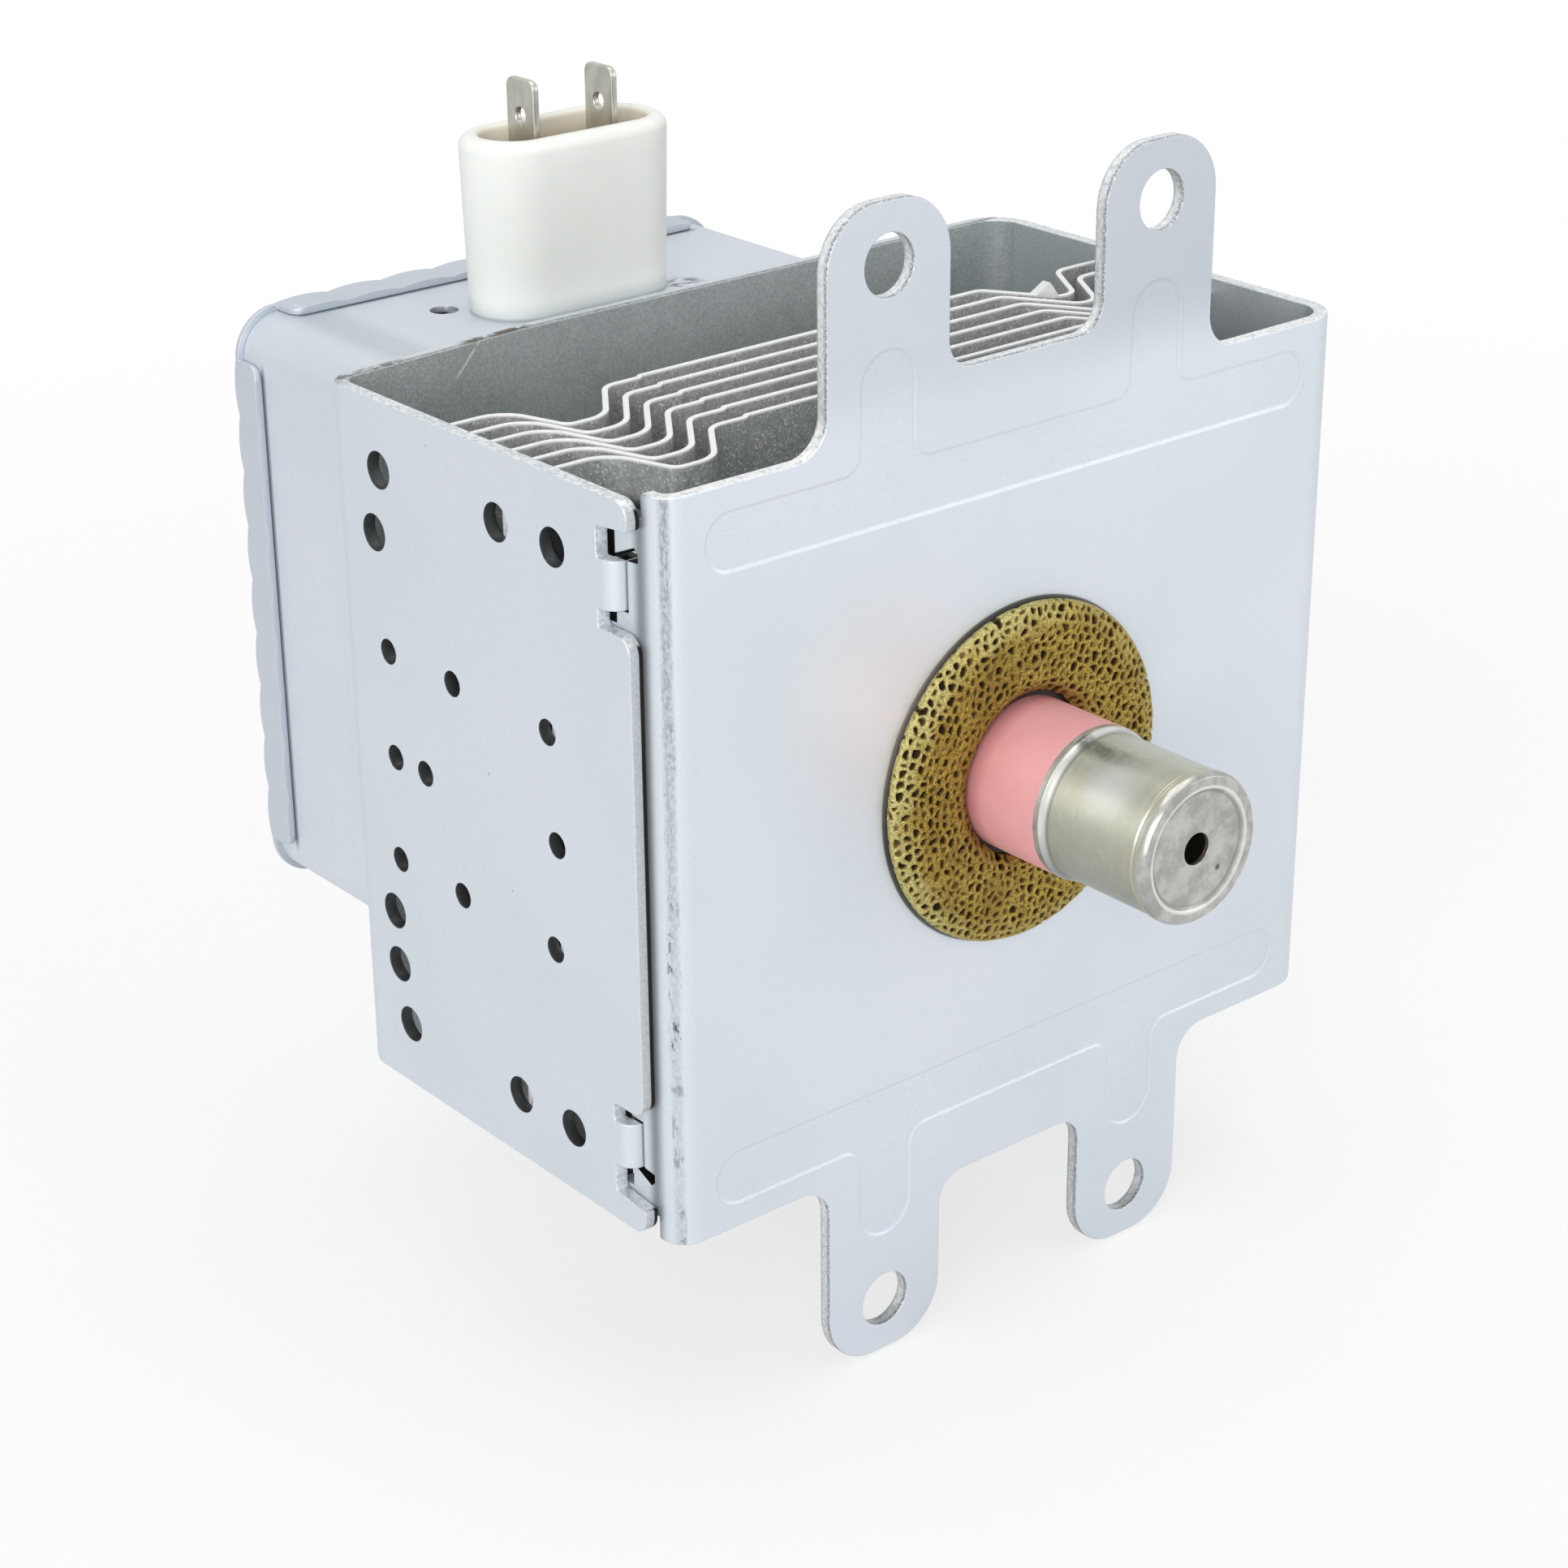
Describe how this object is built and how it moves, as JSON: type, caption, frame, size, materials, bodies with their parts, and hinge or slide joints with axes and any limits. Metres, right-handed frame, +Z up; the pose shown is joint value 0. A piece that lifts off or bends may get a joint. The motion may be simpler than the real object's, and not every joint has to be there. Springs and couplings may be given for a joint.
{
  "type": "magnetron",
  "caption": "Microwave oven magnetron: folded steel yoke with slotted-tab hooks and mounting ears, waved cooling fins, ring magnets, capped antenna, filter box with white twin-tab terminal.",
  "frame": {"origin": "where the antenna's axis crosses the outer face of the mounting plate", "axes": "the antenna points to -Y, +X is to the right seen from the antenna's side, +Z is up, towards the supply tabs"},
  "size_m": [0.0914, 0.1012, 0.1228],
  "materials": {
    "coated_steel": "satin",
    "fin_aluminium": "satin",
    "magnet_ferrite": "matte",
    "copper": "satin",
    "strap_metal": "satin",
    "pole_iron": "satin",
    "seal_steel": "satin",
    "cap_steel": "brushed",
    "pink_ceramic": "satin",
    "stem_ceramic": "satin",
    "cathode_metal": "satin",
    "mesh_brass": "rough",
    "shroud_plastic": "satin",
    "terminal_plating": "satin",
    "capacitor_resin": "matte",
    "choke_ferrite": "matte",
    "enamelled_wire": "gloss",
    "rivet_steel": "satin"
  },
  "bodies": {
    "root": {"yoke": "coated_steel", "filter_box": "coated_steel", "filter_lid": "coated_steel", "front_magnet": "magnet_ferrite", "rear_magnet": "magnet_ferrite", "anode_cylinder": "copper", "anode_vanes": "copper", "strap_rings": "strap_metal", "front_pole_piece": "pole_iron", "rear_pole_piece": "pole_iron", "front_seal_cup": "seal_steel", "rear_seal_cup": "seal_steel", "antenna_ceramic": "pink_ceramic", "exhaust_seal": "seal_steel", "exhaust_tube": "copper", "antenna_lead": "copper", "antenna_cap": "cap_steel", "rf_gasket": "mesh_brass", "filament": "cathode_metal", "front_hat": "cathode_metal", "rear_hat": "cathode_metal", "centre_lead": "cathode_metal", "side_lead": "cathode_metal", "stem_ceramic": "stem_ceramic", "stem_gasket": "mesh_brass", "box_rivets": "rivet_steel", "terminal_shroud": "shroud_plastic", "left_terminal_tab": "terminal_plating", "right_terminal_tab": "terminal_plating", "capacitor_flange": "coated_steel", "capacitor_body": "capacitor_resin", "left_choke_core": "choke_ferrite", "right_choke_core": "choke_ferrite", "left_choke_winding": "enamelled_wire", "right_choke_winding": "enamelled_wire", "cooling_fin_1": "fin_aluminium", "cooling_fin_2": "fin_aluminium", "cooling_fin_3": "fin_aluminium", "cooling_fin_4": "fin_aluminium", "cooling_fin_5": "fin_aluminium", "cooling_fin_6": "fin_aluminium"}
  },
  "joints": []
}
